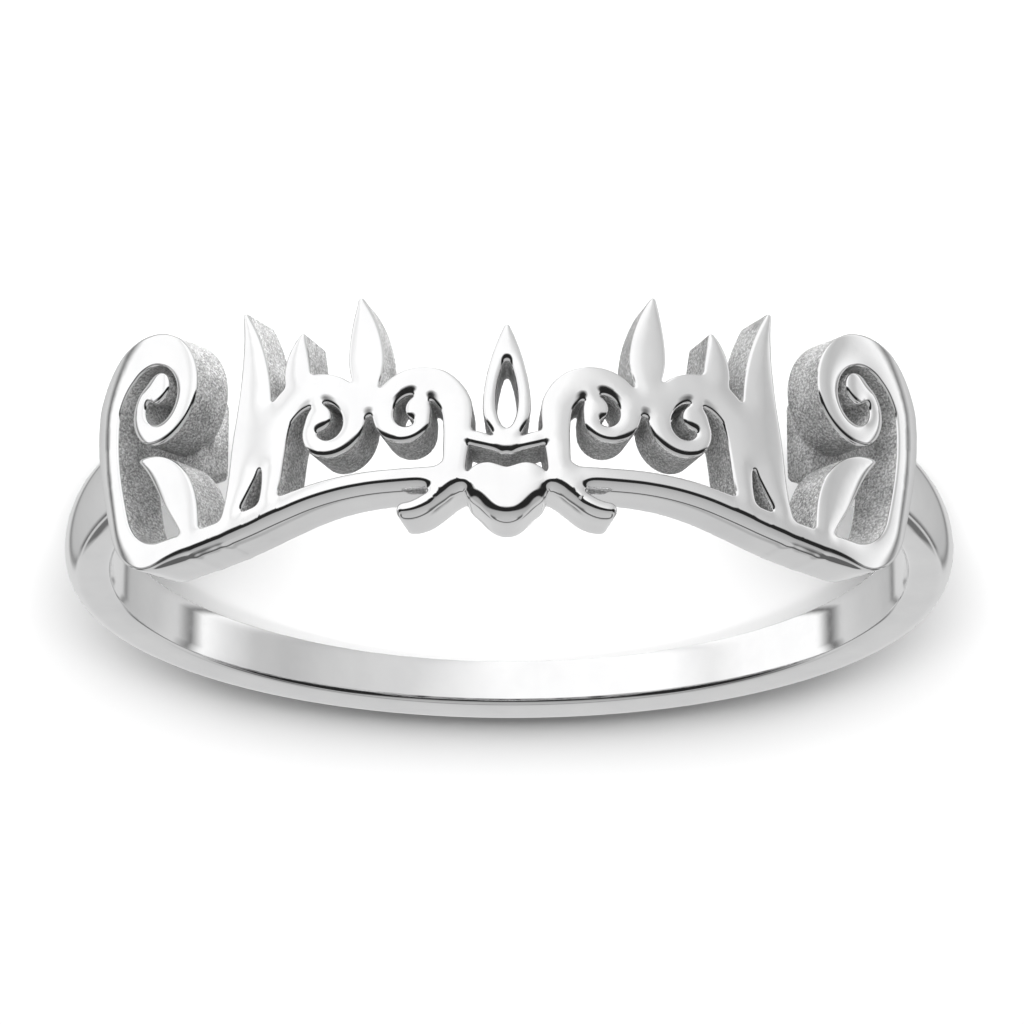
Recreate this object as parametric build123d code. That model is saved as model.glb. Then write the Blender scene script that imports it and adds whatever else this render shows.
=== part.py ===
from build123d import *
import math
import os

# A one-piece ring: a tapered half-round shank that carries a pierced scroll
# head, bent round the finger, with an underline rail, a heart and two ribbon
# ends. It lies on its side, as a loose ring rests. All sizes in millimetres.
#
# Ring frame used while building: x across the finger, y along the finger
# (towards the scroll tops), z from the finger's axis out through the heart.

# ---- driving sizes -------------------------------------------------------
bore_radius = 8.65          # inner diameter 17.3
head_back_radius = 9.25     # the head's back, clear of the finger
face_radius = 10.30         # outer face of the scroll head
shank_start = 42.0          # degrees from the heart where the shank starts
shank_steps = 13            # sections from end to end, both under the head
shank_width_side = 1.56     # width beside the finger
shank_width_gain = 0.46     # widens by this towards the head, narrows under
shank_wall_side = 1.27      # the flat that meets the finger, beside it
shank_wall_gain = 0.22      # and its widening towards the head
shank_thick_side = 1.03     # thickness beside the finger
shank_thick_gain = -0.38    # thicker under the finger than at the shoulders
shank_flank = 0.56          # straight flank ends here, as a share of the thickness
shank_ease = 0.34           # depth of the eased edges next to the finger
bore_allowance = 0.30       # stock inside the bore, cut away at the end
spread_inner = 4.40         # plane inside the bore where the walls start
spread_outer = 10.90        # plane outside the face where the walls end
pitch_straight = 0.70       # outline points on a straight stretch
pitch_turn = 22.0           # degrees of turn between outline points
wall_piece = 2.0            # longest stretch of outline under one wall face

# ---- ornament tables, on the unrolled outer face -------------------------
# u runs round the finger from the heart, v along the finger, both in mm on
# the outer face; headings in degrees from +u; widths are full widths.

# underline rail: length (turn 0) or radius, turn, width at its end
RAIL_START = dict(u=1.00, v=-2.20, heading=0.0, width=0.46)
RAIL = [
    dict(size=1.55, turn=0.0, width=0.46),
    dict(size=8.60, turn=-12.4, width=0.48),
    dict(size=1.05, turn=0.0, width=0.52),
    dict(size=8.60, turn=12.4, width=0.56),
    dict(size=0.63, turn=0.0, width=0.58),
    dict(size=1.42, turn=72.0, width=0.62),
]
# the rail runs on into this volute; the others spring from the rail
END_VOLUTE = dict(name="end_volute", eye_u=8.12, eye_v=0.53, radius=1.60,
                  angle=10, sweep=450, last=0.36, top=0.84, end=0.32, ball=0.34)

# scrolls: a stem from the rail into a spiral that ends in a ball
SCROLLS = [
    dict(name="mid_volute", u=5.12, v=-2.45, heading=112, foot=0.42,
         eye_u=3.78, eye_v=-0.92, radius=1.10, angle=20, sweep=400,
         last=0.27, top=0.72, end=0.30, ball=0.28),
    dict(name="in_volute", u=1.05, v=-2.30, heading=84, foot=0.46,
         eye_u=1.99, eye_v=-0.86, radius=0.98, angle=168, sweep=-390,
         last=0.24, top=0.68, end=0.28, ball=0.26),
]

# leaves: base, tip, widest width and where along the leaf, pierced eye
LEAVES = [
    dict(name="tall_leaf", u=6.18, v=-2.80, heading=120, foot=0.36,
         tip_u=5.66, tip_v=1.86, tip_heading=72, wide=0.88, at=0.44,
         eye_from=0.0, eye_to=0.0, eye=0.0),
    dict(name="end_leaf", u=6.98, v=-2.85, heading=84, foot=0.42,
         tip_u=8.52, tip_v=-0.62, tip_heading=20, wide=0.84, at=0.48,
         eye_from=0.0, eye_to=0.0, eye=0.0),
    dict(name="spire_leaf", u=2.86, v=-0.66, heading=88, foot=0.24,
         tip_u=3.02, tip_v=1.76, tip_heading=80, wide=0.76, at=0.46,
         eye_from=0.0, eye_to=0.0, eye=0.0),
    dict(name="spur_leaf", u=4.30, v=-0.25, heading=70, foot=0.30,
         tip_u=4.30, tip_v=1.16, tip_heading=108, wide=0.60, at=0.40,
         eye_from=0.0, eye_to=0.0, eye=0.0),
    dict(name="ribbon_end", u=1.19, v=-2.18, heading=-76, foot=0.60,
         tip_u=2.08, tip_v=-2.87, tip_heading=2, wide=0.38, at=0.50,
         eye_from=0.0, eye_to=0.0, eye=0.0),
    dict(name="side_leaf", u=0.08, v=-1.66, heading=36, foot=0.20,
         tip_u=1.06, tip_v=-1.34, tip_heading=4, wide=0.34, at=0.50,
         eye_from=0.0, eye_to=0.0, eye=0.0),
]
PALM = dict(name="palm_leaf", u=0.0, v=-1.72, heading=90, foot=0.30,
            tip_u=0.0, tip_v=1.00, tip_heading=90, wide=0.98, at=0.34,
            eye_from=0.19, eye_to=0.69, eye=0.32)
leaf_tip = 0.12             # width of every leaf's tip
ribbon_tip = 0.33           # width of the round ribbon ends

# heart: two round lobes drawn down to one wide round point
heart_lobe_u = 0.40
heart_lobe_v = -2.38
heart_lobe_radius = 0.47
heart_point_v = -2.60
heart_point_radius = 0.55


# ---- plane geometry ------------------------------------------------------
def ease(f):
    f = min(1.0, max(0.0, f))
    return f * f * (3 - 2 * f)


def hermite(u0, v0, h0, u1, v1, h1, count):
    """Points of a smooth curve between two points with two headings."""
    length = math.hypot(u1 - u0, v1 - v0)
    h0, h1 = math.radians(h0), math.radians(h1)
    points = []
    for i in range(count + 1):
        t = i / count
        a, b = 2 * t**3 - 3 * t**2 + 1, t**3 - 2 * t**2 + t
        c, d = -2 * t**3 + 3 * t**2, t**3 - t**2
        points.append((
            a * u0 + b * length * math.cos(h0) + c * u1 + d * length * math.cos(h1),
            a * v0 + b * length * math.sin(h0) + c * v1 + d * length * math.sin(h1)))
    return points


def shares(points):
    """Share of the whole length at each point."""
    run = [0.0]
    for p, q in zip(points, points[1:]):
        run.append(run[-1] + math.hypot(q[0] - p[0], q[1] - p[1]))
    return [r / run[-1] for r in run], run[-1]


def scroll_line(row):
    """Centre line and widths of a stem that winds into a spiral."""
    if "u" not in row:
        row = dict(row, **RAIL_END)
    sign = 1 if row["sweep"] > 0 else -1
    angle = math.radians(row["angle"])
    start = (row["eye_u"] + row["radius"] * math.cos(angle),
             row["eye_v"] + row["radius"] * math.sin(angle))
    points = hermite(row["u"], row["v"], row["heading"], *start,
                     row["angle"] + 90 * sign, 24)
    stem = len(points)
    turns = abs(row["sweep"]) // 5
    for i in range(1, turns + 1):
        f = i / turns
        r = row["radius"] * (row["last"] / row["radius"]) ** f
        t = angle + math.radians(row["sweep"]) * f
        points.append((row["eye_u"] + r * math.cos(t),
                       row["eye_v"] + r * math.sin(t)))
    share, _ = shares(points)
    crest = share[stem - 1] + (1 - share[stem - 1]) * 0.16
    widths = []
    for s in share:
        if s < crest:
            widths.append(row["foot"] + (row["top"] - row["foot"]) * ease(s / crest))
        else:
            g = (s - crest) / (1 - crest)
            widths.append(row["top"] + (row["end"] - row["top"]) * g**0.8)
    return points, widths


def leaf_line(row, tip):
    """Centre line and widths of a leaf, and of its pierced eye."""
    points = hermite(row["u"], row["v"], row["heading"],
                     row["tip_u"], row["tip_v"], row["tip_heading"], 60)
    share, _ = shares(points)
    widths = []
    for s in share:
        if s < row["at"]:
            widths.append(row["foot"] + (row["wide"] - row["foot"]) * ease(s / row["at"]))
        else:
            g = (s - row["at"]) / (1 - row["at"])
            widths.append(tip + (row["wide"] - tip) * (1 - g**1.7))
    eye = None
    if row["eye"]:
        span = row["eye_to"] - row["eye_from"]
        inside = [(p, (s - row["eye_from"]) / span) for p, s in zip(points, share)
                  if row["eye_from"] <= s <= row["eye_to"]]
        eye = ([p for p, _ in inside],
               [0.12 + row["eye"] * max(0.0, math.sin(math.pi * f**0.75))**0.8
                for _, f in inside])
    return points, widths, eye


def rail_line():
    """Centre line and widths of the rail, run by run."""
    points = [(RAIL_START["u"], RAIL_START["v"])]
    widths = [RAIL_START["width"]]
    heading = math.radians(RAIL_START["heading"])
    for row in RAIL:
        u0, v0 = points[-1]
        w0 = widths[-1]
        turn = math.radians(row["turn"])
        length = row["size"] * (abs(turn) if turn else 1.0)
        count = max(3, round(length / 0.1))
        for i in range(1, count + 1):
            f = i / count
            if turn:
                s = math.copysign(row["size"], turn)
                h = heading + turn * f
                p = (u0 + s * (math.sin(h) - math.sin(heading)),
                     v0 - s * (math.cos(h) - math.cos(heading)))
            else:
                p = (u0 + length * f * math.cos(heading),
                     v0 + length * f * math.sin(heading))
            points.append(p)
            widths.append(w0 + (row["width"] - w0) * f)
        heading += turn
    end = dict(u=points[-1][0], v=points[-1][1], heading=math.degrees(heading),
               foot=widths[-1])
    return points, widths, end


RAIL_POINTS, RAIL_WIDTHS, RAIL_END = rail_line()


def thin_out(points, widths):
    """Points along a line with widths and normals, closer where it turns."""
    last = len(points) - 1
    normals, turns = [], [0.0]
    for i in range(last + 1):
        a, b = points[max(0, i - 1)], points[min(last, i + 1)]
        n = math.hypot(b[0] - a[0], b[1] - a[1])
        normals.append((-(b[1] - a[1]) / n, (b[0] - a[0]) / n))
    for i in range(last):
        step = math.dist(points[i], points[i + 1])
        (a, b), (c, d) = normals[i], normals[i + 1]
        turn = math.degrees(abs(math.atan2(a * d - b * c, a * c + b * d)))
        turns.append(turns[-1] + step / pitch_straight + turn / pitch_turn)
    count = max(5, round(turns[-1]))
    rows, k = [], 0
    for i in range(count + 1):
        s = turns[-1] * i / count
        while k < last - 1 and turns[k + 1] < s:
            k += 1
        f = min(1.0, (s - turns[k]) / (turns[k + 1] - turns[k]))

        def between(a, b):
            return a + (b - a) * f

        nu = between(normals[k][0], normals[k + 1][0])
        nv = between(normals[k][1], normals[k + 1][1])
        n = math.hypot(nu, nv)
        rows.append((between(points[k][0], points[k + 1][0]),
                     between(points[k][1], points[k + 1][1]),
                     between(widths[k], widths[k + 1]), nu / n, nv / n))
    return rows


def spread(u, v):
    """Place on the tangent plane at the face radius, seen from the axis."""
    return (face_radius * math.tan(u / face_radius), v, 0.0)


def stroke_face(points, widths, mirror=1):
    rows = thin_out(points, widths)
    left = [spread(mirror * (u + nu * w / 2), v + nv * w / 2)
            for u, v, w, nu, nv in rows]
    right = [spread(mirror * (u - nu * w / 2), v - nv * w / 2)
             for u, v, w, nu, nv in rows]
    edges = [Edge.make_spline([Vector(*p) for p in left]),
             Edge.make_line(Vector(*left[-1]), Vector(*right[-1])),
             Edge.make_spline([Vector(*p) for p in reversed(right)]),
             Edge.make_line(Vector(*right[0]), Vector(*left[0]))]
    return up(Face(Wire(edges)))


def disc_face(u, v, radius):
    count = 16
    points = [spread(u + radius * math.cos(2 * math.pi * i / count),
                     v + radius * math.sin(2 * math.pi * i / count))
              for i in range(count)]
    edge = Edge.make_spline([Vector(*p) for p in points], periodic=True)
    return up(Face(Wire([edge])))


def up(face):
    return face if face.normal_at().Z > 0 else -face


def arc_edge(u, v, radius, start, end):
    """Part of a circle on the unrolled face, angles in radians."""
    count = max(3, math.ceil(abs(end - start) / 0.4))
    angles = [start + (end - start) * i / count for i in range(count + 1)]
    return Edge.make_spline([Vector(*spread(u + radius * math.cos(t),
                                            v + radius * math.sin(t)))
                             for t in angles])


def heart_face():
    """Two lobes, each joined to the point by its outer tangent."""
    reach = math.hypot(heart_lobe_u, heart_lobe_v - heart_point_v)
    toward = math.atan2(heart_point_v - heart_lobe_v, -heart_lobe_u)
    lean = math.acos((heart_lobe_radius - heart_point_radius) / reach)
    outer = toward + lean                       # normal of the outer tangent
    notch = math.acos(-heart_lobe_u / heart_lobe_radius)
    lobe = (heart_lobe_u, heart_lobe_v, heart_lobe_radius)
    point = (0.0, heart_point_v, heart_point_radius)
    right = [arc_edge(*lobe, notch, outer)]
    left = [arc_edge(-lobe[0], *lobe[1:], math.pi - outer, math.pi - notch)]
    tip = arc_edge(*point, outer, -math.pi - outer)
    right.append(Edge.make_line(right[0].position_at(1), tip.position_at(0)))
    left.insert(0, Edge.make_line(tip.position_at(1), left[0].position_at(0)))
    return up(Face(Wire(right + [tip] + left)))


def ornament():
    metal, eyes = [], []
    volute_points, volute_widths = scroll_line(END_VOLUTE)
    long_stroke = (RAIL_POINTS + volute_points[1:], RAIL_WIDTHS + volute_widths[1:])
    for mirror in (1, -1):
        metal.append(stroke_face(*long_stroke, mirror))
        metal.append(disc_face(mirror * volute_points[-1][0], volute_points[-1][1],
                               END_VOLUTE["ball"]))
        for row in SCROLLS:
            points, widths = scroll_line(row)
            metal.append(stroke_face(points, widths, mirror))
            metal.append(disc_face(mirror * points[-1][0], points[-1][1], row["ball"]))
        for row in LEAVES:
            round_end = row["name"] == "ribbon_end"
            tip = ribbon_tip if round_end else leaf_tip
            points, widths, eye = leaf_line(row, tip)
            metal.append(stroke_face(points, widths, mirror))
            if round_end:
                metal.append(disc_face(mirror * points[-1][0], points[-1][1], tip / 2 + 0.015))
            if eye:
                eyes.append(stroke_face(*eye, mirror))
    points, widths, eye = leaf_line(PALM, leaf_tip)
    metal.append(stroke_face(points, widths))
    eyes.append(stroke_face(*eye))
    metal.append(heart_face())
    shape = metal[0].fuse(*metal[1:])
    return shape.cut(*eyes)


# ---- solids --------------------------------------------------------------
def stretched(shape, distance):
    """The flat outline as it is met at this distance from the axis."""
    s = distance / face_radius
    return shape.transform_geometry(
        Matrix([[s, 0, 0, 0], [0, 1, 0, 0], [0, 0, 1, distance], [0, 0, 0, 1]]))


def in_pieces(flat):
    """The same outline, its long edges divided into short ones."""
    wires = []
    for wire in [flat.outer_wire()] + flat.inner_wires():
        pieces = []
        for edge in wire.order_edges():
            n = max(1, math.ceil(edge.length / wall_piece))
            pieces += [edge.trim(i / n, (i + 1) / n) for i in range(n)] if n > 1 else [edge]
        wires.append(Wire(pieces))
    return up(Face(wires[0], wires[1:]))


def radial_solid(outline):
    """Walls along rays from the finger's axis, through a flat outline."""
    flat = in_pieces(outline)
    faces = []
    for distance in (spread_inner, spread_outer):
        faces.append(stretched(flat, distance))
    for edge in flat.edges():
        faces.append(Face.make_surface_from_curves(
            stretched(edge, spread_inner), stretched(edge, spread_outer)))
    return Solid(Shell(faces))


def along_finger(radius, half):
    """A cylinder on the finger's axis, its seam under the finger."""
    return Solid.make_cylinder(radius, 2 * half,
                               Plane(origin=(0, -half, 0), x_dir=(0, 0, -1),
                                     z_dir=(0, 1, 0)))


def shank_width(angle):
    return shank_width_side + shank_width_gain * math.cos(math.radians(angle))


def shank_thickness(angle):
    return shank_thick_side + shank_thick_gain * math.cos(math.radians(angle))


def shank_wall(angle):
    return shank_wall_side + shank_wall_gain * math.cos(math.radians(angle))


def shank_section(angle):
    """D-shaped section, flat towards the finger, its inner edges eased."""
    w, t = shank_width(angle) / 2, shank_thickness(angle)
    slant = (w - shank_wall(angle) / 2) / shank_ease
    narrow = shank_wall(angle) / 2 - slant * bore_allowance
    a = math.radians(angle)
    out = Vector(math.sin(a), 0, math.cos(a))

    def at(r, y):
        return out * r + Vector(0, y, 0)

    foot, eased = bore_radius - bore_allowance, bore_radius + shank_ease
    flank, crown = bore_radius + shank_flank * t, bore_radius + t
    rise = crown - flank
    q = math.sqrt(0.5)
    crown_edge = Edge.make_spline(
        [at(flank, -w), at(flank + rise * q, -w * q), at(crown, 0),
         at(flank + rise * q, w * q), at(flank, w)],
        tangents=[out, -out])
    return Wire([Edge.make_line(at(foot, narrow), at(foot, -narrow)),
                 Edge.make_line(at(foot, -narrow), at(eased, -w)),
                 Edge.make_line(at(eased, -w), at(flank, -w)),
                 crown_edge,
                 Edge.make_line(at(flank, w), at(eased, w)),
                 Edge.make_line(at(eased, w), at(foot, narrow))])


def shank():
    span = 360 - 2 * shank_start
    angles = [shank_start + span * i / (shank_steps - 1) for i in range(shank_steps)]
    return Solid.make_loft([shank_section(a) for a in angles])


def ring():
    flat = ornament()
    faces = flat.faces()
    assert len(faces) == 1, len(faces)
    head = radial_solid(faces[0]).intersect(along_finger(face_radius, 6))
    heads = [s.cut(along_finger(head_back_radius, 7)) for s in head.solids()]
    whole = shank().fuse(*heads)
    return whole.cut(along_finger(bore_radius, 7))


def at_rest(solid):
    """Turned onto its side and tilted until scroll tops and shank touch."""
    volute = END_VOLUTE
    top_v = volute["eye_v"] + volute["radius"] + 0.10
    lean = (volute["eye_u"] + 0.3) / face_radius
    head_z, head_v = head_back_radius * math.cos(lean), top_v
    back_z = bore_radius + shank_flank * shank_thickness(180)
    back_v = shank_width(180) / 2
    tilt = math.degrees(math.atan2(head_v - back_v, head_z + back_z))
    # across -> -X, along the finger -> -Z, out through the heart -> -Y
    turned = solid.rotate(Axis.X, 90).rotate(Axis.Y, 180)
    turned = turned.rotate(Axis.X, -tilt)
    box = turned.bounding_box()
    return turned.translate(Vector(-(box.min.X + box.max.X) / 2,
                                   -(box.min.Y + box.max.Y) / 2, -box.min.Z)), tilt


def main():
    os.makedirs("parts", exist_ok=True)
    solid, tilt = at_rest(ring())
    print("tilt", round(tilt, 3), "volume", round(solid.volume, 2),
          "solids", len(solid.solids()), "faces", len(solid.faces()))
    export_step(solid, "parts/ring.step")


main()
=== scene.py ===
import math

import bpy
import numpy as np
from mathutils import Matrix, Vector, kdtree
from mathutils.geometry import delaunay_2d_cdt


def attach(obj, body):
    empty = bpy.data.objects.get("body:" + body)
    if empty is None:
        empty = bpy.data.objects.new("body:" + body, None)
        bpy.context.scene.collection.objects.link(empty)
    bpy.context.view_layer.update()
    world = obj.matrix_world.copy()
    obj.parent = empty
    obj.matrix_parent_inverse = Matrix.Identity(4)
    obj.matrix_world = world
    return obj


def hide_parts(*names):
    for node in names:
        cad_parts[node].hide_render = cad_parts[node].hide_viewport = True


# A one-piece polished ring, lying on its side: a pierced scroll head bent round
# the finger on a slim half-round band. Lengths below are in millimetres on the
# ring's own axes (u round the finger from the heart, v along the finger, r out
# from the finger's axis) and become metres in the shared frame at the end.

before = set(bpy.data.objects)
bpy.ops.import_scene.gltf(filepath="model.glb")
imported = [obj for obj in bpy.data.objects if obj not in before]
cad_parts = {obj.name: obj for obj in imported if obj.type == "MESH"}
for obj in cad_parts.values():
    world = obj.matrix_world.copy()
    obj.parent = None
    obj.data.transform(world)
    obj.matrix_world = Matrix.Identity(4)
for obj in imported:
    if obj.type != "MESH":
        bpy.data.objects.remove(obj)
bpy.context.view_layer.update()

# ---- placing -------------------------------------------------------------
TILT = math.radians(6.0819)             # lean of the finger's axis at rest
CENTRE = np.array([0.0, 0.16830, 1.56578])   # finger's axis at the band, at rest
ACROSS = np.array([-1.0, 0.0, 0.0])
ALONG = np.array([0.0, -math.sin(TILT), -math.cos(TILT)])
OUT = np.array([0.0, -math.cos(TILT), math.sin(TILT)])

bore_radius = 8.65
head_back_radius = 9.25
face_radius = 10.30
shank_start = 42.0
head_end = 51.5          # the band shows its polish from here on
shank_width_side, shank_width_gain = 1.56, 0.46
shank_wall_side, shank_wall_gain = 1.27, 0.22
shank_thick_side, shank_thick_gain = 1.03, -0.38
shank_flank, shank_ease = 0.56, 0.34

edge_width = 0.26        # rounding of the face along its buffed lower side, across
edge_drop = 0.17         # and in depth
crisp_width = 0.055      # rounding of the face along every other rim, across
crisp_drop = 0.038       # and in depth
dome_width = 0.55        # the face crowns this far in from its rim
dome_drop = 0.05
back_round = 0.05        # small rounding at the back of the walls
grid = 0.025             # spacing of the distance grid
blend_corner = 0.11      # softens the inner corners where strokes meet
heart_corner = 0.035     # and those of the opening over the heart's lobes


def placed(points):
    """Ring axes (across, along, out) in mm to the shared frame in metres."""
    p = np.asarray(points, float)
    return (CENTRE + p[:, :1] * ACROSS + p[:, 1:2] * ALONG + p[:, 2:3] * OUT) * 0.001


def wrapped(u, v, r):
    a = np.asarray(u) / face_radius
    return placed(np.stack([r * np.sin(a), np.broadcast_to(v, a.shape), r * np.cos(a)], -1))


# ---- ornament tables -----------------------------------------------------
RAIL_START = dict(u=1.00, v=-2.20, heading=0.0, width=0.46)
RAIL = [
    dict(size=1.55, turn=0.0, width=0.46),
    dict(size=8.60, turn=-12.4, width=0.48),
    dict(size=1.05, turn=0.0, width=0.52),
    dict(size=8.60, turn=12.4, width=0.56),
    dict(size=0.63, turn=0.0, width=0.58),
    dict(size=1.42, turn=72.0, width=0.62),
]
END_VOLUTE = dict(name="end_volute", eye_u=8.12, eye_v=0.53, radius=1.60,
                  angle=10, sweep=450, last=0.36, top=0.84, end=0.32, ball=0.34)
SCROLLS = [
    dict(name="mid_volute", u=5.12, v=-2.45, heading=112, foot=0.42,
         eye_u=3.78, eye_v=-0.92, radius=1.10, angle=20, sweep=400,
         last=0.27, top=0.72, end=0.30, ball=0.28),
    dict(name="in_volute", u=1.05, v=-2.30, heading=84, foot=0.46,
         eye_u=1.99, eye_v=-0.86, radius=0.98, angle=168, sweep=-390,
         last=0.24, top=0.68, end=0.28, ball=0.26),
]
LEAVES = [
    dict(name="tall_leaf", u=6.18, v=-2.80, heading=120, foot=0.36,
         tip_u=5.66, tip_v=1.86, tip_heading=72, wide=0.88, at=0.44,
         eye_from=0.0, eye_to=0.0, eye=0.0),
    dict(name="end_leaf", u=6.98, v=-2.85, heading=84, foot=0.42,
         tip_u=8.52, tip_v=-0.62, tip_heading=20, wide=0.84, at=0.48,
         eye_from=0.0, eye_to=0.0, eye=0.0),
    dict(name="spire_leaf", u=2.86, v=-0.66, heading=88, foot=0.24,
         tip_u=3.02, tip_v=1.76, tip_heading=80, wide=0.76, at=0.46,
         eye_from=0.0, eye_to=0.0, eye=0.0),
    dict(name="spur_leaf", u=4.30, v=-0.25, heading=70, foot=0.30,
         tip_u=4.30, tip_v=1.16, tip_heading=108, wide=0.60, at=0.40,
         eye_from=0.0, eye_to=0.0, eye=0.0),
    dict(name="ribbon_end", u=1.19, v=-2.18, heading=-76, foot=0.60,
         tip_u=2.08, tip_v=-2.87, tip_heading=2, wide=0.38, at=0.50,
         eye_from=0.0, eye_to=0.0, eye=0.0),
    dict(name="side_leaf", u=0.08, v=-1.66, heading=36, foot=0.20,
         tip_u=1.06, tip_v=-1.34, tip_heading=4, wide=0.34, at=0.50,
         eye_from=0.0, eye_to=0.0, eye=0.0),
]
PALM = dict(name="palm_leaf", u=0.0, v=-1.60, heading=90, foot=0.28,
            tip_u=0.0, tip_v=1.00, tip_heading=90, wide=0.98, at=0.34,
            eye_from=0.19, eye_to=0.69, eye=0.32)
leaf_tip, ribbon_tip = 0.12, 0.33
HEART = dict(lobe_u=0.40, lobe_v=-2.38, lobe=0.47, point_v=-2.60, point=0.55)


def ease(f):
    f = np.clip(f, 0.0, 1.0)
    return f * f * (3 - 2 * f)


def hermite(u0, v0, h0, u1, v1, h1, count):
    length = math.hypot(u1 - u0, v1 - v0)
    h0, h1 = math.radians(h0), math.radians(h1)
    t = np.linspace(0, 1, count + 1)[:, None]
    return ((2 * t**3 - 3 * t**2 + 1) * np.array([u0, v0])
            + (t**3 - 2 * t**2 + t) * length * np.array([math.cos(h0), math.sin(h0)])
            + (-2 * t**3 + 3 * t**2) * np.array([u1, v1])
            + (t**3 - t**2) * length * np.array([math.cos(h1), math.sin(h1)]))


def shares(points):
    run = np.concatenate([[0.0], np.cumsum(np.hypot(*np.diff(points, axis=0).T))])
    return run / run[-1], run[-1]


def rail_line():
    points, widths = [(RAIL_START["u"], RAIL_START["v"])], [RAIL_START["width"]]
    heading = math.radians(RAIL_START["heading"])
    for row in RAIL:
        (u0, v0), w0 = points[-1], widths[-1]
        turn = math.radians(row["turn"])
        length = row["size"] * (abs(turn) if turn else 1.0)
        count = max(3, round(length / 0.04))
        for i in range(1, count + 1):
            f = i / count
            if turn:
                s = math.copysign(row["size"], turn)
                h = heading + turn * f
                points.append((u0 + s * (math.sin(h) - math.sin(heading)),
                               v0 - s * (math.cos(h) - math.cos(heading))))
            else:
                points.append((u0 + length * f * math.cos(heading),
                               v0 + length * f * math.sin(heading)))
            widths.append(w0 + (row["width"] - w0) * f)
        heading += turn
    end = dict(u=points[-1][0], v=points[-1][1], heading=math.degrees(heading),
               foot=widths[-1])
    return np.array(points), np.array(widths), end


RAIL_POINTS, RAIL_WIDTHS, RAIL_END = rail_line()


def scroll_line(row):
    if "u" not in row:
        row = dict(row, **RAIL_END)
    sign = 1 if row["sweep"] > 0 else -1
    angle = math.radians(row["angle"])
    start = (row["eye_u"] + row["radius"] * math.cos(angle),
             row["eye_v"] + row["radius"] * math.sin(angle))
    stem = hermite(row["u"], row["v"], row["heading"], *start, row["angle"] + 90 * sign, 60)
    turns = abs(row["sweep"]) // 2
    f = np.arange(1, turns + 1) / turns
    r = row["radius"] * (row["last"] / row["radius"]) ** f
    t = angle + math.radians(row["sweep"]) * f
    points = np.vstack([stem, np.stack([row["eye_u"] + r * np.cos(t),
                                        row["eye_v"] + r * np.sin(t)], -1)])
    share, _ = shares(points)
    crest = share[len(stem) - 1] + (1 - share[len(stem) - 1]) * 0.16
    g = np.clip((share - crest) / (1 - crest), 0, 1)
    widths = np.where(share < crest,
                      row["foot"] + (row["top"] - row["foot"]) * ease(share / crest),
                      row["top"] + (row["end"] - row["top"]) * g**0.8)
    return points, widths


def leaf_line(row, tip):
    points = hermite(row["u"], row["v"], row["heading"],
                     row["tip_u"], row["tip_v"], row["tip_heading"], 160)
    share, _ = shares(points)
    g = np.clip((share - row["at"]) / (1 - row["at"]), 0, 1)
    widths = np.where(share < row["at"],
                      row["foot"] + (row["wide"] - row["foot"]) * ease(share / row["at"]),
                      tip + (row["wide"] - tip) * (1 - g**1.7))
    eye = None
    if row["eye"]:
        inside = (share >= row["eye_from"]) & (share <= row["eye_to"])
        f = (share[inside] - row["eye_from"]) / (row["eye_to"] - row["eye_from"])
        eye = (points[inside],
               0.12 + row["eye"] * np.maximum(0.0, np.sin(np.pi * f**0.75))**0.8)
    return points, widths, eye


def dense(points, widths, step=0.008):
    share, length = shares(points)
    q = np.linspace(0, 1, max(3, int(length / step)))
    return np.stack([np.interp(q, share, points[:, 0]), np.interp(q, share, points[:, 1]),
                     np.interp(q, share, widths) / 2], -1)


def strokes():
    """Every stroke and every pierced eye as rows of discs, both sides."""
    metal, eyes = [], []

    def both(target, rows):
        target.append(rows)
        target.append(rows * [-1, 1, 1])

    volute_points, volute_widths = scroll_line(END_VOLUTE)
    both(metal, dense(np.vstack([RAIL_POINTS, volute_points[1:]]),
                      np.concatenate([RAIL_WIDTHS, volute_widths[1:]])))
    both(metal, np.array([[*volute_points[-1], END_VOLUTE["ball"]]]))
    for row in SCROLLS:
        points, widths = scroll_line(row)
        both(metal, dense(points, widths))
        both(metal, np.array([[*points[-1], row["ball"]]]))
    for row in LEAVES:
        points, widths, eye = leaf_line(
            row, ribbon_tip if row["name"] == "ribbon_end" else leaf_tip)
        both(metal, dense(points, widths))
        if eye:
            both(eyes, dense(*eye))
    points, widths, eye = leaf_line(PALM, leaf_tip)
    metal.append(dense(points, widths))
    eyes.append(dense(*eye))
    for side in (1, -1):
        metal.append(dense(np.array([[side * HEART["lobe_u"], HEART["lobe_v"]],
                                     [0.0, HEART["point_v"]]]),
                           np.array([HEART["lobe"], HEART["point"]]) * 2))
    return metal, eyes


# ---- distance grid -------------------------------------------------------
low_u, low_v = -10.9, -3.5
count_u, count_v = int(21.8 / grid) + 1, int(6.1 / grid) + 1
axis_u = low_u + grid * np.arange(count_u)
axis_v = low_v + grid * np.arange(count_v)


def stroke_field(rows, reach=0.35):
    """Distance to one stroke's edge on the grid, negative inside."""
    field = np.full((count_v, count_u), 9.0)
    for u, v, r in rows:
        g = r + reach
        j0, j1 = max(0, int((u - g - low_u) / grid)), min(count_u, int((u + g - low_u) / grid) + 2)
        i0, i1 = max(0, int((v - g - low_v) / grid)), min(count_v, int((v + g - low_v) / grid) + 2)
        part = field[i0:i1, j0:j1]
        np.minimum(part, np.hypot(axis_u[None, j0:j1] - u, axis_v[i0:i1, None] - v) - r, out=part)
    return field


def soft_min(a, b, k):
    h = np.clip(0.5 + 0.5 * (b - a) / k, 0, 1)
    return b + (a - b) * h - k * h * (1 - h)


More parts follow.
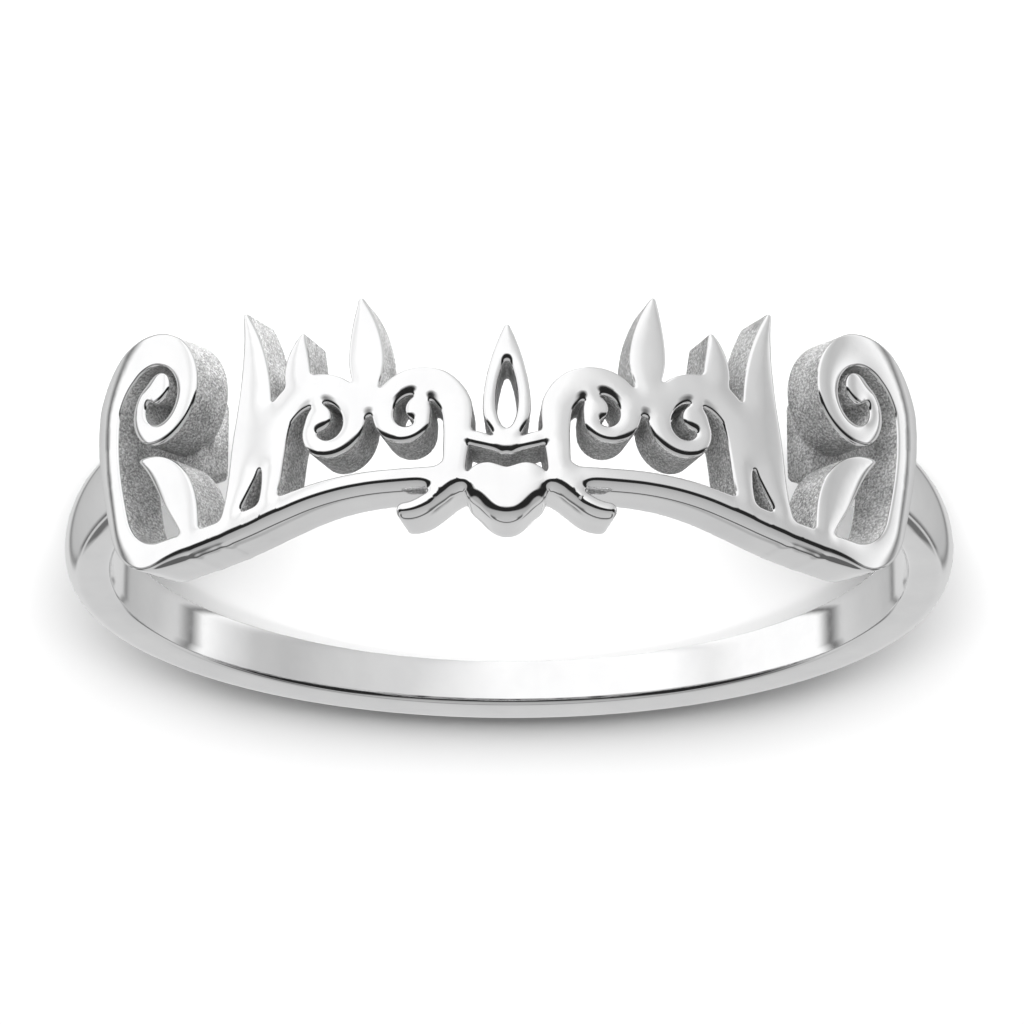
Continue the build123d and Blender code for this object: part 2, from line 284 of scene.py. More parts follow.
def outline_field():
    metal, eyes = strokes()
    field = np.full((count_v, count_u), 9.0)
    v, u = axis_v[:, None], np.abs(axis_u)[None, :]
    at_heart = ease((1.2 - u) / 0.25) * ease((v + 2.42) / 0.06) * ease((-1.42 - v) / 0.12)
    corner = blend_corner + (heart_corner - blend_corner) * at_heart
    for rows in metal:
        field = soft_min(field, stroke_field(rows), corner)
    hole = np.full((count_v, count_u), 9.0)
    for rows in eyes:
        hole = np.minimum(hole, stroke_field(rows))
    return np.maximum(field, -hole)


def sampled(field, points):
    """Cubic reading of a grid field at points, with its slopes."""
    x = (points[:, 0] - low_u) / grid
    y = (points[:, 1] - low_v) / grid
    i = np.clip(np.floor(y).astype(int), 1, count_v - 3)
    j = np.clip(np.floor(x).astype(int), 1, count_u - 3)
    fx, fy = x - j, y - i

    def weights(t):
        return np.stack([-0.5 * t**3 + t**2 - 0.5 * t, 1.5 * t**3 - 2.5 * t**2 + 1,
                         -1.5 * t**3 + 2 * t**2 + 0.5 * t, 0.5 * t**3 - 0.5 * t**2])

    def slopes(t):
        return np.stack([-1.5 * t**2 + 2 * t - 0.5, 4.5 * t**2 - 5 * t,
                         -4.5 * t**2 + 4 * t + 0.5, 1.5 * t**2 - t]) / grid

    wx, wy, dx, dy = weights(fx), weights(fy), slopes(fx), slopes(fy)
    value = np.zeros(len(x)); du = np.zeros(len(x)); dv = np.zeros(len(x))
    for a in range(4):
        for b in range(4):
            f = field[i - 1 + a, j - 1 + b]
            value += wy[a] * wx[b] * f
            du += wy[a] * dx[b] * f
            dv += dy[a] * wx[b] * f
    return value, du, dv


EDGES = {1: "BL", 2: "RB", 4: "TR", 8: "LT", 3: "RL", 6: "TB", 12: "LR", 9: "BT",
         7: "TL", 14: "LB", 13: "BR", 11: "RT", 5: "BLTR", 10: "RBLT"}


def level_loops(field, level):
    """Closed lines where the field meets the level, the higher side on the left."""
    high = field > level
    case = (high[:-1, :-1] * 1 + high[:-1, 1:] * 2 + high[1:, 1:] * 4 + high[1:, :-1] * 8)
    follow = {}
    for i, j in np.argwhere((case > 0) & (case < 15)):
        key = {"B": 2 * (i * count_u + j), "T": 2 * ((i + 1) * count_u + j),
               "L": 2 * (i * count_u + j) + 1, "R": 2 * (i * count_u + j + 1) + 1}
        turn = EDGES[int(case[i, j])]
        for k in range(0, len(turn), 2):
            follow[key[turn[k]]] = key[turn[k + 1]]
    keys = np.array(list(follow))
    place = {int(k): n for n, k in enumerate(keys)}
    i, j = (keys // 2) // count_u, (keys // 2) % count_u
    up = keys % 2
    a, b = field[i, j], field[i + up, j + 1 - up]
    t = np.clip((level - a) / np.where(np.abs(b - a) < 1e-12, 1e-12, b - a), 0.0, 1.0)
    points = np.stack([low_u + grid * (j + t * (1 - up)), low_v + grid * (i + t * up)], -1)
    loops, seen = [], set()
    for start in place:
        if start in seen:
            continue
        loop, key = [], start
        while key not in seen:
            seen.add(key)
            loop.append(place[key])
            key = int(follow[key])
        if len(loop) > 8:
            loops.append(points[loop])
    return loops


def evened(loop, longest, turn):
    """A loop with points closer where it turns."""
    closed = np.vstack([loop, loop[:1]])
    step = np.hypot(*np.diff(closed, axis=0).T)
    run = np.concatenate([[0], np.cumsum(step)])
    count = max(8, int(run[-1] / 0.02))
    q = np.linspace(0, run[-1], count, endpoint=False)
    fine = np.stack([np.interp(q, run, closed[:, 0]), np.interp(q, run, closed[:, 1])], -1)
    soft = fine
    for _ in range(3):
        soft = 0.25 * np.roll(soft, 1, 0) + 0.5 * soft + 0.25 * np.roll(soft, -1, 0)
    d = np.roll(soft, -1, 0) - soft
    heading = np.arctan2(d[:, 1], d[:, 0])
    bend = np.abs((np.roll(heading, -1) - heading + np.pi) % (2 * np.pi) - np.pi)
    bend = 0.25 * np.roll(bend, 1) + 0.5 * bend + 0.25 * np.roll(bend, -1)
    measure = np.concatenate([[0], np.cumsum(np.hypot(*d.T) / longest + bend / turn)])
    total = max(8, int(round(measure[-1])))
    q = np.linspace(0, measure[-1], total, endpoint=False)
    ring = np.vstack([fine, fine[:1]])
    return np.stack([np.interp(q, measure, ring[:, 0]), np.interp(q, measure, ring[:, 1])], -1)


def settled(field, loop, level, rounds=2):
    """Points moved onto the level along the slope."""
    for _ in range(rounds):
        value, du, dv = sampled(field, loop)
        slope = np.maximum(du**2 + dv**2, 0.25)
        move = np.clip((level - value) / slope, -0.01, 0.01)
        loop = loop + np.stack([du, dv], -1) * move[:, None]
    return loop


class Rim:
    """Exact distance to the closed outline, and how buffed its nearest stretch is."""

    def __init__(self, loops, buffed):
        self.a = np.vstack(loops)
        self.b = np.vstack([np.roll(x, -1, 0) for x in loops])
        self.c = np.vstack([np.roll(x, 1, 0) for x in loops])
        self.at_a = np.concatenate(buffed)
        self.at_b = np.concatenate([np.roll(x, -1) for x in buffed])
        self.at_c = np.concatenate([np.roll(x, 1) for x in buffed])
        points, owner = [], []
        for k in range(len(self.a)):
            steps = max(1, int(np.hypot(*(self.b[k] - self.a[k])) / 0.02))
            for s in range(steps):
                points.append(self.a[k] + (self.b[k] - self.a[k]) * (s / steps))
                owner.append(k)
        self.owner = np.array(owner)
        self.tree = kdtree.KDTree(len(points))
        for n, p in enumerate(points):
            self.tree.insert((p[0], p[1], 0.0), n)
        self.tree.balance()

    def distance(self, points):
        found = self.owner[[self.tree.find((p[0], p[1], 0.0))[1] for p in points]]
        best = np.full(len(points), 9.0)
        buffed = np.zeros(len(points))
        for a, b, at_a, at_b in ((self.a, self.b, self.at_a, self.at_b),
                                 (self.c, self.a, self.at_c, self.at_a)):
            a, b, at_a, at_b = a[found], b[found], at_a[found], at_b[found]
            ab = b - a
            t = np.clip(((points - a) * ab).sum(1) / np.maximum((ab**2).sum(1), 1e-12), 0, 1)
            d = np.hypot(*(points - a - ab * t[:, None]).T)
            closer = d < best
            best = np.where(closer, d, best)
            buffed = np.where(closer, at_a + (at_b - at_a) * t, buffed)
        return best, buffed


def facings(loop):
    """Outward direction at each point of a loop."""
    ahead = np.roll(loop, -1, 0) - np.roll(loop, 1, 0)
    return np.stack([ahead[:, 1], -ahead[:, 0]], -1) / np.hypot(*ahead.T)[:, None]


def low_sides(loop):
    """True along the rims that face the near side below the rail's line."""
    line = np.interp(np.abs(loop[:, 0]), LOWER_U, LOWER_V)
    return (facings(loop)[:, 1] < -0.35) & (loop[:, 1] < line)


def buffing(loop):
    """1 along the buffed lower rims, 0 along the others, joined softly."""
    closed = np.vstack([loop, loop[:1]])
    run = np.concatenate([[0], np.cumsum(np.hypot(*np.diff(closed, axis=0).T))])
    length = run[-1]
    low = low_sides(loop) * (1 - ease((np.abs(loop[:, 0]) - 6.9) / 1.7))
    count = max(16, int(length / 0.02))
    q = np.arange(count) * length / count
    even = np.interp(q, run[:-1], low, period=length)
    width = min(count // 3, 9)
    for _ in range(2):
        even = sum(np.roll(even, k) for k in range(-width, width + 1)) / (2 * width + 1)
    return ease(np.interp(run[:-1], q, even, period=length))


def blurred(field, sigma):
    n = int(3 * sigma / grid) + 1
    k = np.exp(-0.5 * (np.arange(-n, n + 1) * grid / sigma) ** 2)
    k /= k.sum()
    out = np.zeros_like(field)
    padded = np.pad(field, ((n, n), (0, 0)), mode="edge")
    for s, w in enumerate(k):
        out += w * padded[s:s + field.shape[0]]
    padded = np.pad(out, ((0, 0), (n, n)), mode="edge")
    out = np.zeros_like(field)
    for s, w in enumerate(k):
        out += w * padded[:, s:s + field.shape[1]]
    return out


def face_drop(d, half, buffed, dome):
    """How far the polished face lies under its crown, d in from the rim of a
    stroke whose half width is given."""
    width = np.minimum(half, crisp_width + (edge_width - crisp_width) * buffed)
    drop = crisp_drop + (edge_drop - crisp_drop) * buffed
    f = np.clip(d / width, 0, 1)
    g = np.clip(d / np.minimum(half, dome_width), 0, 1)
    return drop * (1 - np.sqrt(1 - (1 - f) ** 2)) + dome * (1 - g) ** 2


def half_width(true):
    """Half the width of the stroke round each grid point, smoothly joined.

    A membrane under even pressure rises to d (2 h - d) / 2 across a strip of
    half width h, which gives h back at any distance d from the strip's rim.
    """
    inside = true > 0
    rise = np.zeros_like(true)
    checks = (np.add.outer(np.arange(count_v), np.arange(count_u)) % 2).astype(bool)
    colours = [inside & checks, inside & ~checks]
    for colour in colours:
        colour[[0, -1], :] = False
        colour[:, [0, -1]] = False
    around = np.zeros_like(true)
    for _ in range(260):
        for colour in colours:
            around[1:-1, 1:-1] = (rise[2:, 1:-1] + rise[:-2, 1:-1]
                                  + rise[1:-1, 2:] + rise[1:-1, :-2] + grid**2) / 4
            rise[colour] += 1.85 * (around[colour] - rise[colour])
    deep = (true > 0.05) * 1.0
    half = np.where(deep > 0, rise / np.maximum(true, 0.05) + true / 2, 0.0)
    return blurred(half * deep, 0.07) / np.maximum(blurred(deep, 0.07), 1e-3)


def back_rise(d):
    f = np.clip(d / back_round, 0, 1)
    return back_round * (1 - np.sqrt(1 - (1 - f) ** 2))


def filled(loops_by_level, extra):
    """Triangles of the region inside the first level's loops, through all loops."""
    points, edges, rim_edges = [], [], 0
    for level, loops in enumerate(loops_by_level):
        for loop in loops:
            n = len(points)
            points += [tuple(p) for p in loop]
            edges += [(n + k, n + (k + 1) % len(loop)) for k in range(len(loop))]
        if level == 0:
            rim_edges = len(edges)
    points += [tuple(p) for p in extra]
    verts, cdt_edges, faces, orig_verts, orig_edges, _ = delaunay_2d_cdt(
        [Vector(p) for p in points], edges, [], 0, 1e-7, True)
    # keep the triangles inside the rim, group by group between rim edges
    home = {}
    for n, ids in enumerate(orig_verts):
        for k in ids:
            home[k] = n
    verts = np.array([tuple(v) for v in verts])
    wall = {frozenset(e) for e, ids in zip(cdt_edges, orig_edges)
            if any(k < rim_edges for k in ids)}
    sides = {}
    for f, tri in enumerate(faces):
        for k in range(3):
            sides.setdefault(frozenset((tri[k], tri[(k + 1) % 3])), []).append(f)
    group = [-1] * len(faces)
    groups = 0
    for f in range(len(faces)):
        if group[f] >= 0:
            continue
        stack = [f]
        group[f] = groups
        while stack:
            tri = faces[stack.pop()]
            for k in range(3):
                side = frozenset((tri[k], tri[(k + 1) % 3]))
                if side in wall:
                    continue
                for g in sides[side]:
                    if group[g] < 0:
                        group[g] = groups
                        stack.append(g)
        groups += 1
    tris = np.array(faces)
    centre = verts[tris].mean(1)
    a, b, c = verts[tris[:, 0]], verts[tris[:, 1]], verts[tris[:, 2]]
    area = 0.5 * ((b[:, 0] - a[:, 0]) * (c[:, 1] - a[:, 1]) - (b[:, 1] - a[:, 1]) * (c[:, 0] - a[:, 0]))
    tris = np.where((area < 0)[:, None], tris[:, ::-1], tris)
    inside = sampled(FIELD, centre)[0] > 0
    vote = np.bincount(group, np.abs(area) * np.where(inside, 1, -1), groups)
    keep = vote[np.array(group)] > 0
    rim = [[home[k] for k in range(start, start + len(loop))]
           for start, loop in zip(np.cumsum([0] + [len(x) for x in loops_by_level[0][:-1]]),
                                  loops_by_level[0])]
    return verts, tris[keep], rim


def make_object(name, verts, faces, slots, materials, smooth=True):
    mesh = bpy.data.meshes.new(name)
    used = np.unique(np.concatenate([np.ravel(f) for f in faces]))
    renumber = np.full(len(verts), -1)
    renumber[used] = np.arange(len(used))
    mesh.from_pydata([tuple(p) for p in verts[used]], [],
                     [tuple(int(renumber[i]) for i in f) for f in faces])
    for material in materials:
        mesh.materials.append(material)
    mesh.polygons.foreach_set("material_index", np.asarray(slots, np.int32))
    mesh.polygons.foreach_set("use_smooth", [smooth] * len(mesh.polygons))
    mesh.update()
    mesh.validate()
    piece = bpy.data.objects.new(name, mesh)
    bpy.context.scene.collection.objects.link(piece)
    return piece


# ---- the head ------------------------------------------------------------
FIELD = -outline_field()      # positive inside the metal


def head():
    rim_loops = [settled(FIELD, evened(x, 0.075, math.radians(11)), 0.0)
                 for x in level_loops(FIELD, 0.0)]
    rim_loops = [x for x in rim_loops if len(x) > 20]
    rim_buffed = [buffing(x) for x in rim_loops]
    rim = Rim(rim_loops, rim_buffed)
    # true distance in and near the metal, and the same with its ridges eased
    near = FIELD > -0.16
    true = np.full(FIELD.shape, -0.3)
    ii, jj = np.nonzero(near)
    d, _ = rim.distance(np.stack([axis_u[jj], axis_v[ii]], -1))
    true[ii, jj] = np.where(FIELD[ii, jj] > 0, d, -d)
    eased = blurred(true, 0.045)
    half = np.clip(half_width(true), 0.08, 2.0)

    def depth_in(points):
        exact, _ = rim.distance(points)
        soft = sampled(eased, points)[0]
        w = ease(exact / 0.07)
        return np.maximum(0.0, exact * (1 - w) + soft * w)

    steps = [0.0, 0.010, 0.024, 0.042, 0.064, 0.090, 0.130, 0.185, 0.26]
    front_levels = [rim_loops]
    for step in steps[1:]:
        front_levels.append([evened(x, 0.078, math.radians(12))
                             for x in level_loops(true, step)])
    inner_u, inner_v = np.meshgrid(np.arange(-10.5, 10.5, 0.12), np.arange(-3.2, 2.3, 0.12))
    inner = np.stack([inner_u.ravel(), inner_v.ravel()], -1)
    inner = inner[sampled(true, inner)[0] > steps[-1] + 0.05]
    verts, front, front_rim = filled(front_levels, inner)
    d = depth_in(verts)
    _, buffed = rim.distance(verts)
    for loop, shares_buffed in zip(front_rim, rim_buffed):
        d[loop] = 0.0
        buffed[loop] = shares_buffed
    # the face is flatter towards the head's two ends
    dome = dome_drop * (1 - 0.45 * ease((np.abs(verts[:, 0]) - 8.0) / 1.2))
    drop = face_drop(d, np.maximum(0.08, sampled(half, verts)[0]), buffed, dome)
    front_points = wrapped(verts[:, 0], verts[:, 1], face_radius - drop)

    inner_u, inner_v = np.meshgrid(np.arange(-10.5, 10.5, 0.25), np.arange(-3.2, 2.3, 0.25))
    inner = np.stack([inner_u.ravel(), inner_v.ravel()], -1)
    inner = inner[sampled(true, inner)[0] > back_round + 0.05]
    back_steps = [(1 - math.cos(math.radians(a))) * back_round for a in (30, 60, 90)]
    back_levels = [rim_loops] + [[evened(x, 0.08, math.radians(13))
                                  for x in level_loops(true, s)] for s in back_steps]
    back_verts, back, back_rim = filled(back_levels, inner)
    exact, _ = rim.distance(back_verts)
    for loop in back_rim:
        exact[loop] = 0.0
    back_points = wrapped(back_verts[:, 0], back_verts[:, 1],
                          head_back_radius + back_rise(exact))

    points = [front_points, back_points]
    faces = [tuple(t) for t in front]
    kinds = [0] * len(faces)
    offset = len(front_points)
    faces += [tuple(int(i) + offset for i in t[::-1]) for t in back]
    kinds += [2] * len(back)
    base = offset + len(back_points)
    low_r = head_back_radius + back_rise(0.0)
    rows = 4
    for loop, upper, lower in zip(rim_loops, front_rim, back_rim):
        n = len(loop)
        top_r = face_radius - drop[upper]
        low_side = low_sides(loop)
        rings = [list(upper)]
        for k in range(1, rows):
            points.append(wrapped(loop[:, 0], loop[:, 1], top_r + (low_r - top_r) * k / rows))
            rings.append(list(range(base, base + n)))
            base += n
        rings.append([offset + i for i in lower])
        for k in range(rows):
            for i in range(n):
                j = (i + 1) % n
                faces.append((rings[k][i], rings[k + 1][i], rings[k + 1][j], rings[k][j]))
                kinds.append(0 if low_side[i] else 1)
    return np.vstack(points), faces, kinds


LOWER_U = np.concatenate([[0.0], RAIL_POINTS[:, 0], [10.9]])
LOWER_V = np.concatenate([[-2.2], RAIL_POINTS[:, 1], [-1.6]])
order = np.argsort(LOWER_U)
LOWER_U, LOWER_V = LOWER_U[order], LOWER_V[order]


# ---- the band ------------------------------------------------------------
def band():
    around, profile = 320, 44
    angles = np.radians(np.linspace(shank_start, 360 - shank_start, around + 1))
    rows = []
    for a in angles:
        w = (shank_width_side + shank_width_gain * math.cos(a)) / 2
        wall = (shank_wall_side + shank_wall_gain * math.cos(a)) / 2
        t = shank_thick_side + shank_thick_gain * math.cos(a)
        flank = shank_flank * t
        rise = t - flank
        outline = []
        # flat inside, eased inner edges, straight flanks and a half-round crown
        for k in range(7):
            outline.append((-wall + 2 * wall * k / 6, 0.0))
        for k in range(1, 9):
            f = math.radians(90 * k / 8)
            outline.append((wall + (w - wall) * math.sin(f), shank_ease * (1 - math.cos(f))))
        outline.append((w, shank_ease + (flank - shank_ease) * 0.5))
        for k in range(25):
            f = math.pi * k / 24
            outline.append((w * math.cos(f), flank + rise * math.sin(f)))
        outline.append((-w, shank_ease + (flank - shank_ease) * 0.5))
        for k in range(8):
            f = math.radians(90 * k / 8)
            outline.append((-wall - (w - wall) * math.cos(f), shank_ease * (1 - math.sin(f))))
        outline = np.array(outline)
        r = bore_radius + outline[:, 1]
        rows.append(np.stack([r * math.sin(a), outline[:, 0], r * math.cos(a)], -1))
    rows = np.array(rows)
    n = rows.shape[1]
    points = placed(rows.reshape(-1, 3))
    faces, kinds = [], []
    for i in range(around):
        under = min(angles[i], 2 * math.pi - angles[i + 1]) < math.radians(head_end)
        for k in range(n):
            m = (k + 1) % n
            faces.append((i * n + k, (i + 1) * n + k, (i + 1) * n + m, i * n + m))
            kinds.append(1 if under and k >= 6 else 0)
    faces.append(tuple(range(n)))
    faces.append(tuple((around * n) + k for k in reversed(range(n))))
    return points, faces, kinds + [1, 1]


# ---- materials -----------------------------------------------------------
def material(name):
    m = bpy.data.materials.new(name)
    m.use_nodes = True
    nodes, links = m.node_tree.nodes, m.node_tree.links
    nodes.clear()
    out = nodes.new("ShaderNodeOutputMaterial")
    bsdf = nodes.new("ShaderNodeBsdfPrincipled")
    links.new(bsdf.outputs["BSDF"], out.inputs["Surface"])
    place = nodes.new("ShaderNodeTexCoord")
    return m, nodes, links, bsdf, place.outputs["Object"]


def noise(nodes, links, place, scale, detail=3.0, rough=0.55):
    n = nodes.new("ShaderNodeTexNoise")
    n.inputs["Scale"].default_value = scale
    n.inputs["Detail"].default_value = detail
    n.inputs["Roughness"].default_value = rough
    links.new(place, n.inputs["Vector"])
    return n


def ramp(nodes, links, source, stops):
    r = nodes.new("ShaderNodeValToRGB")
    r.color_ramp.elements[0].position, r.color_ramp.elements[1].position = stops[0][0], stops[-1][0]
    r.color_ramp.elements[0].color = (*stops[0][1], 1)
    r.color_ramp.elements[1].color = (*stops[-1][1], 1)
    for position, colour in stops[1:-1]:
        e = r.color_ramp.elements.new(position)
        e.color = (*colour, 1)
    links.new(source, r.inputs["Fac"])
    return r


def span(nodes, links, source, low, high, to_low, to_high):
    m = nodes.new("ShaderNodeMapRange")
    m.inputs["From Min"].default_value = low
    m.inputs["From Max"].default_value = high
    m.inputs["To Min"].default_value = to_low
    m.inputs["To Max"].default_value = to_high
    links.new(source, m.inputs["Value"])
    return m


def polished():
    m, nodes, links, bsdf, place = material("polished_silver")
    bsdf.inputs["Metallic"].default_value = 1.0
    tone = noise(nodes, links, place, 900.0, 4.0)
    colour = ramp(nodes, links, tone.outputs["Fac"],
                  [(0.3, (0.90, 0.90, 0.905)), (0.7, (0.955, 0.955, 0.955))])
    links.new(colour.outputs["Color"], bsdf.inputs["Base Color"])
    buff = noise(nodes, links, place, 5200.0, 5.0, 0.65)
    rough = span(nodes, links, buff.outputs["Fac"], 0.3, 0.7, 0.045, 0.11)
    links.new(rough.outputs["Result"], bsdf.inputs["Roughness"])
    swell = noise(nodes, links, place, 1500.0, 2.0)
    bump = nodes.new("ShaderNodeBump")
    bump.inputs["Strength"].default_value = 0.10
    bump.inputs["Distance"].default_value = 0.000006
    links.new(swell.outputs["Fac"], bump.inputs["Height"])
    links.new(bump.outputs["Normal"], bsdf.inputs["Normal"])
    return m


def frosted():
    m, nodes, links, bsdf, place = material("frosted_silver")
    bsdf.inputs["Metallic"].default_value = 0.45
    grain = noise(nodes, links, place, 21000.0, 3.0, 0.7)
    cloud = noise(nodes, links, place, 1800.0, 3.0)
    mixed = nodes.new("ShaderNodeMath")
    mixed.operation = "MULTIPLY_ADD"
    mixed.inputs[1].default_value = 0.22
    links.new(cloud.outputs["Fac"], mixed.inputs[0])
    scaled = nodes.new("ShaderNodeMath")
    scaled.operation = "MULTIPLY"
    scaled.inputs[1].default_value = 0.78
    links.new(grain.outputs["Fac"], scaled.inputs[0])
    links.new(scaled.outputs[0], mixed.inputs[2])
    colour = ramp(nodes, links, mixed.outputs[0],
                  [(0.40, (0.24, 0.24, 0.24)), (0.50, (0.48, 0.48, 0.48)),
                   (0.60, (0.80, 0.80, 0.80))])
    links.new(colour.outputs["Color"], bsdf.inputs["Base Color"])
    rough = span(nodes, links, grain.outputs["Fac"], 0.3, 0.7, 0.42, 0.62)
    links.new(rough.outputs["Result"], bsdf.inputs["Roughness"])
    bump = nodes.new("ShaderNodeBump")
    bump.inputs["Strength"].default_value = 0.9
    bump.inputs["Distance"].default_value = 0.00002
    links.new(grain.outputs["Fac"], bump.inputs["Height"])
    links.new(bump.outputs["Normal"], bsdf.inputs["Normal"])
    return m


def satin_back():
    m, nodes, links, bsdf, place = material("buffed_silver")
    bsdf.inputs["Metallic"].default_value = 1.0
    tone = noise(nodes, links, place, 2600.0, 4.0)
    colour = ramp(nodes, links, tone.outputs["Fac"],
                  [(0.3, (0.80, 0.80, 0.805)), (0.7, (0.90, 0.90, 0.90))])
    links.new(colour.outputs["Color"], bsdf.inputs["Base Color"])
    rough = span(nodes, links, tone.outputs["Fac"], 0.3, 0.7, 0.12, 0.24)
    links.new(rough.outputs["Result"], bsdf.inputs["Roughness"])
    return m


def floor_material():
    m, nodes, links, bsdf, place = material("pale_floor")
    tone = noise(nodes, links, place, 60.0, 3.0)
    colour = ramp(nodes, links, tone.outputs["Fac"],
                  [(0.3, (0.895, 0.895, 0.895)), (0.7, (0.91, 0.91, 0.91))])
    links.new(colour.outputs["Color"], bsdf.inputs["Base Color"])
    bsdf.inputs["Roughness"].default_value = 0.6
    bsdf.inputs["Specular IOR Level"].default_value = 0.2
    return m


shine, frost, back_finish = polished(), frosted(), satin_back()

points, faces, kinds = head()
scroll_head = make_object("scroll_head", points, faces, kinds, [shine, frost, back_finish])
points, faces, kinds = band()
shank = make_object("shank", points, faces, kinds, [shine, frost])
shank.visible_diffuse = False     # it throws no bright patches on the floor
for piece in (scroll_head, shank):
    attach(piece, "root")
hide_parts("ring")

# ---- floor, light, camera ------------------------------------------------
half = 1.2
floor_mesh = bpy.data.meshes.new("floor")
floor_mesh.from_pydata([(-half, -half, 0), (half, -half, 0), (half, half, 0), (-half, half, 0)],
                       [], [(0, 1, 2, 3)])
floor_mesh.materials.append(floor_material())
floor = bpy.data.objects.new("floor", floor_mesh)
bpy.context.scene.collection.objects.link(floor)
floor.visible_glossy = False      # the metal mirrors the cards round it instead


def gathered(name, pieces):
    group = bpy.data.collections.new(name)
    for piece in pieces:
        group.objects.link(piece)
    return group


def soft_box(name, place, width, height, power, on, blockers):
    """A soft box for one set of pieces, shaded by another."""
    data = bpy.data.lights.new(name, "AREA")
    data.shape = "RECTANGLE"
    data.size, data.size_y = width, height
    data.energy = power
    light = bpy.data.objects.new(name, data)
    light.location = place
    light.rotation_mode = "QUATERNION"
    light.rotation_quaternion = (-Vector(place)).to_track_quat("-Z", "Y")
    light.visible_glossy = False
    light.light_linking.receiver_collection = on
    light.light_linking.blocker_collection = blockers
    bpy.context.scene.collection.objects.link(light)


lit_floor = gathered("lit_floor", [floor])
band_only = gathered("band_only", [shank])
whole_ring = gathered("whole_ring", [shank, scroll_head])
soft_box("front_box", (0.0, -0.50, 0.138), 0.36, 0.15, 13.0, lit_floor, band_only)
soft_box("top_box", (0.0, -0.10, 0.50), 0.40, 0.40, 0.58, lit_floor, whole_ring)
# fill for the frosted walls, from ahead, from the feet of the scrolls and from above
soft_box("ahead_fill", (0.10, -0.45, 0.12), 0.45, 0.35, 1.3, whole_ring, whole_ring)
soft_box("low_fill", (-0.24, -0.18, -0.36), 0.45, 0.45, 4.6, whole_ring, whole_ring)
soft_box("high_fill", (0.0, 0.0, 0.45), 0.45, 0.45, 0.9, whole_ring, whole_ring)

world = bpy.data.worlds.new("studio")
bpy.context.scene.world = world
world.use_nodes = True
world.cycles_visibility.diffuse = False
nodes, links = world.node_tree.nodes, world.node_tree.links
nodes.clear()
out = nodes.new("ShaderNodeOutputWorld")
background = nodes.new("ShaderNodeBackground")
links.new(background.outputs[0], out.inputs["Surface"])
background.inputs["Strength"].default_value = 1.0
direction = nodes.new("ShaderNodeTexCoord")
split = nodes.new("ShaderNodeSeparateXYZ")
links.new(direction.outputs["Generated"], split.inputs[0])


def greys(stops):
    return [(place, (shade, shade, shade)) for place, shade in stops]


def mixed(factor, first, second):
    m = nodes.new("ShaderNodeMix")
    m.data_type = "RGBA"
    links.new(factor, m.inputs["Factor"])
    links.new(first, m.inputs[6])
    links.new(second, m.inputs[7])
    return m.outputs[2]


# the cards round the ring, by the way they lie from its front in degrees: white
# ahead, greyer to one side, a narrow gap at each end and grey cards behind
CARDS = [(-180, 0.72), (-155, 0.68), (-151, 0.22), (-147, 0.52), (-125, 0.60), (-114, 0.68),
         (-108, 0.12), (-102, 1.08), (-72, 1.06), (-61, 0.90), (-48, 1.10), (4, 1.06),
         (28, 0.73), (48, 0.66), (68, 0.54), (80, 0.58), (101, 1.05), (107, 0.20),
         (114, 0.67), (125, 0.58), (147, 0.50), (151, 0.22), (155, 0.66), (180, 0.70)]
flip = []
for axis in ("X", "Y"):
    m = nodes.new("ShaderNodeMath")
    m.operation = "MULTIPLY"
    m.inputs[1].default_value = -1.0
    links.new(split.outputs[axis], m.inputs[0])
    flip.append(m.outputs[0])
azimuth = nodes.new("ShaderNodeMath")
azimuth.operation = "ARCTAN2"
links.new(flip[0], azimuth.inputs[0])
links.new(flip[1], azimuth.inputs[1])
round_share = span(nodes, links, azimuth.outputs[0], -math.pi, math.pi, 0.0, 1.0)
cards = ramp(nodes, links, round_share.outputs["Result"],
             greys([((angle + 180) / 360, shade) for angle, shade in CARDS]))
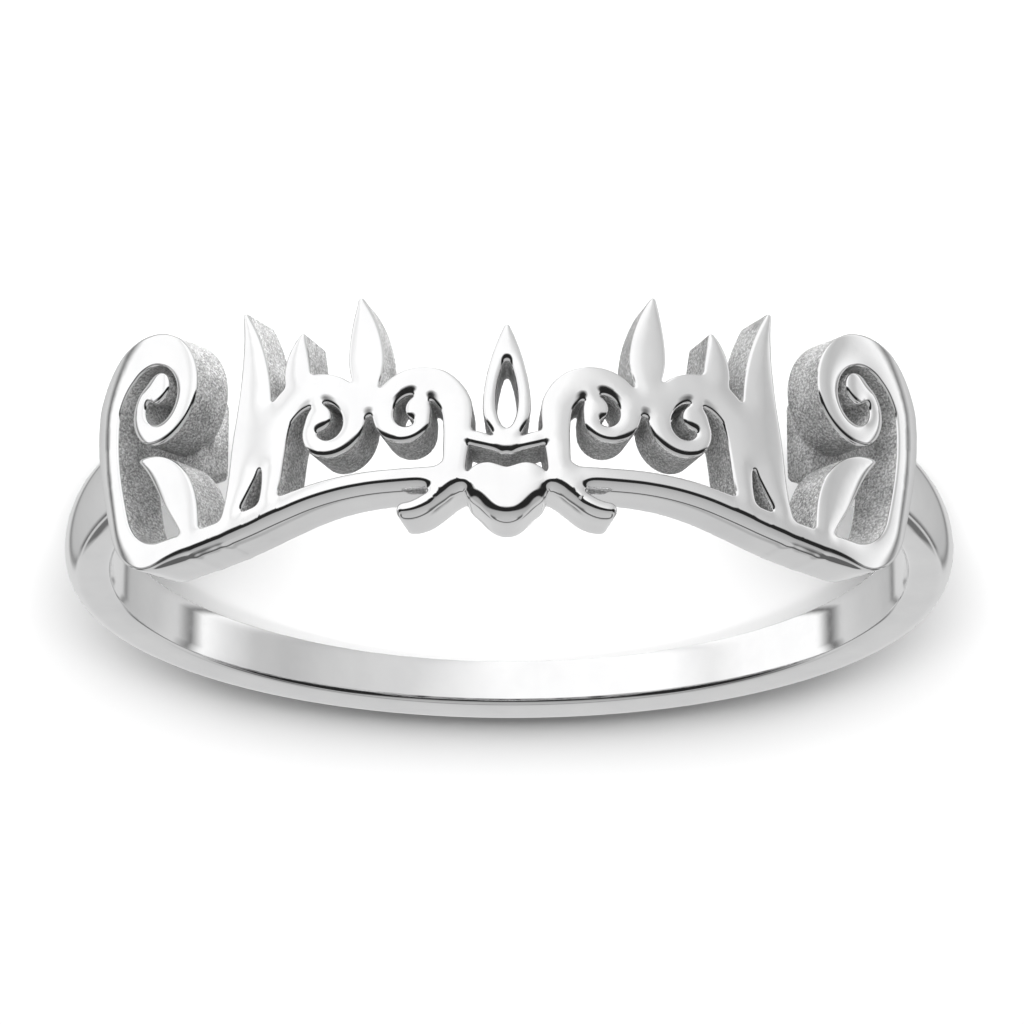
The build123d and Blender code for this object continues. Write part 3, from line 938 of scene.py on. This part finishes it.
# overhead: dark low in front and beside, a dark gap high behind, pale screens elsewhere
ahead = ramp(nodes, links, split.outputs["Z"],
             greys([(0.0, 0.02), (0.36, 0.02), (0.44, 0.42), (1.0, 0.55)]))
beside = ramp(nodes, links, split.outputs["Z"],
              greys([(0.0, 0.14), (0.035, 0.14), (0.06, 0.62), (0.10, 0.62), (0.13, 0.16),
                     (0.28, 0.16), (0.36, 0.60), (0.60, 0.60), (0.65, 0.12),
                     (0.80, 0.12), (0.86, 0.60), (1.0, 0.55)]))
behind = ramp(nodes, links, split.outputs["Z"],
              greys([(0.0, 0.66), (0.46, 0.60), (0.56, 0.12), (0.88, 0.12), (0.97, 0.55)]))
side_mix = span(nodes, links, split.outputs["Y"], -0.15, 0.10, 0.0, 1.0)
back_mix = span(nodes, links, split.outputs["Y"], 0.80, 0.88, 0.0, 1.0)
above = mixed(back_mix.outputs["Result"],
              mixed(side_mix.outputs["Result"], ahead.outputs["Color"],
                    beside.outputs["Color"]), behind.outputs["Color"])
rise_mix = span(nodes, links, split.outputs["Z"], -0.06, 0.02, 0.0, 1.0)
links.new(mixed(rise_mix.outputs["Result"], cards.outputs["Color"], above),
          background.inputs["Color"])

# camera: the photo's angle to the ring, in the ring's own axes
from_along = math.radians(69.4)      # from the finger's axis, on the heart's side
turn = math.radians(0.28)            # round the finger's axis
roll = math.radians(0.12)
distance = 120.0
pixels_per_mm = 45.85

side = math.cos(turn) * ACROSS - math.sin(turn) * OUT
front = math.sin(turn) * ACROSS + math.cos(turn) * OUT
back = math.sin(from_along) * front - math.cos(from_along) * ALONG
up = math.cos(from_along) * front + math.sin(from_along) * ALONG
right = math.cos(roll) * side + math.sin(roll) * up
up = -math.sin(roll) * side + math.cos(roll) * up
eye = CENTRE + back * distance
aim = CENTRE + right * ((512 - 509.0) / pixels_per_mm) + up * ((552.2 - 512) / pixels_per_mm)
look = (eye - aim) / np.linalg.norm(eye - aim)
right = right - look * (right @ look)
right /= np.linalg.norm(right)
up = np.cross(look, right)
camera_data = bpy.data.cameras.new("camera")
camera_data.sensor_width = 36.0
camera_data.lens = pixels_per_mm * distance * 36.0 / 1024
camera_data.clip_start, camera_data.clip_end = 0.01, 20.0
camera = bpy.data.objects.new("camera", camera_data)
camera.matrix_world = Matrix(((right[0], up[0], look[0], eye[0] * 0.001),
                              (right[1], up[1], look[1], eye[1] * 0.001),
                              (right[2], up[2], look[2], eye[2] * 0.001),
                              (0, 0, 0, 1)))
bpy.context.scene.collection.objects.link(camera)
bpy.context.scene.camera = camera

view = bpy.context.scene.view_settings
view.view_transform = "Standard"
view.look = "None"
view.exposure = 0.0
view.gamma = 1.0

print("triangles", {p.name: sum(len(q.vertices) - 2 for q in p.data.polygons)
                    for p in (scroll_head, shank)})
